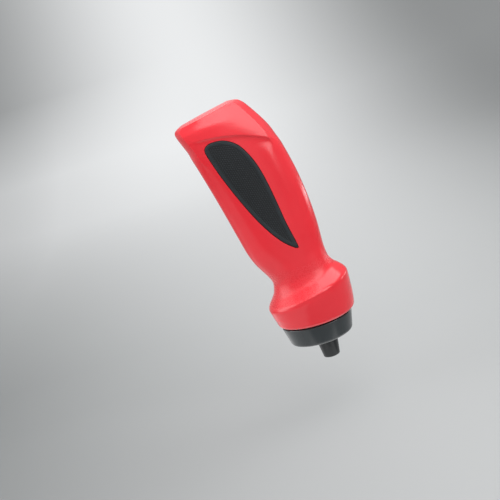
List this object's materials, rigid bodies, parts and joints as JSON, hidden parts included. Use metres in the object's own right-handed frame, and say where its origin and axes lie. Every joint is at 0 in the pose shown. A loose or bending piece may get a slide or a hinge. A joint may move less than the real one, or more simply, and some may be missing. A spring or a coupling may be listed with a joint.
{
  "type": "watering wand",
  "caption": "Short self-contained watering wand: a flask inside a rigid two-part handle, squeezed through rubber pads, with a screw cap and a conical twist nozzle.",
  "frame": {"origin": "centre of the nozzle's outlet mouth", "axes": "+Z from the nozzle up along the cap's axis to the butt end, +X towards the edge the fingers wrap round, +Y from the palm side to the finger side"},
  "size_m": [0.1053, 0.075, 0.2396],
  "materials": {
    "red_shell": "glossy, fine-grained on the neck and flanks",
    "pad_rubber": "fine dotted texture with a smooth rim",
    "cap_plastic": "satin",
    "nozzle_plastic": "satin",
    "flask_plastic": "milky, soft sheen",
    "natural_plastic": "satin",
    "seal_rubber": "matt",
    "steel": "bright",
    "brass": "knurled"
  },
  "bodies": {
    "handle": {"palm_shell": "red_shell", "finger_shell": "red_shell", "shell_screws": "steel", "screw_inserts": "brass", "flask": "flask_plastic", "collar_washer": "seal_rubber", "vent_plug": "natural_plastic"},
    "vent_flap": {"vent_flap": "seal_rubber"},
    "palm_pad": {"palm_pad": "pad_rubber", "palm_plate": "natural_plastic"},
    "finger_pad": {"finger_pad": "pad_rubber", "finger_plate": "natural_plastic"},
    "closure": {"spout_base": "nozzle_plastic", "cap_seal": "seal_rubber", "valve_cage": "natural_plastic", "valve_seat": "natural_plastic", "valve_spring": "steel", "filter_basket": "natural_plastic"},
    "cap": {"cap": "cap_plastic"},
    "nozzle": {"nozzle": "nozzle_plastic", "nozzle_oring": "seal_rubber", "nozzle_clip": "steel"},
    "valve_ball": {"valve_ball": "steel"}
  },
  "joints": [
    {"name": "cap_lift", "type": "slide", "parent": "handle", "child": "closure", "axis": [0, 0, -1], "range_m": [0, 0.012]},
    {"name": "cap_turn", "type": "hinge", "parent": "closure", "child": "cap", "pos_m": [-0.0032, 0, 0.027], "axis": [0, 0, -1], "range_deg": [0, 1080]},
    {"name": "nozzle_twist", "type": "hinge", "parent": "closure", "child": "nozzle", "pos_m": [0, 0, 0.012], "axis": [0, 0, -1], "range_deg": [0, 90]},
    {"name": "valve_open", "type": "slide", "parent": "closure", "child": "valve_ball", "axis": [0, 0, -1], "range_m": [0, 0.0025], "stiffness_N_per_m": 60, "springref_m": -0.004, "deforming": ["valve_spring"]},
    {"name": "vent_open", "type": "slide", "parent": "handle", "child": "vent_flap", "axis": [0, 0, -1], "range_m": [0, 0.0008], "stiffness_N_per_m": 50, "springref_m": -0.001},
    {"name": "palm_squeeze", "type": "slide", "parent": "handle", "child": "palm_pad", "axis": [0, 1, 0], "range_m": [0, 0.0035], "stiffness_N_per_m": 4000},
    {"name": "finger_squeeze", "type": "slide", "parent": "handle", "child": "finger_pad", "axis": [0, -1, 0], "range_m": [0, 0.0035], "stiffness_N_per_m": 4000}
  ],
  "couplings": [
    {"joint": "cap_turn", "follows": "cap_lift", "rad_per_m": 1570.8}
  ]
}
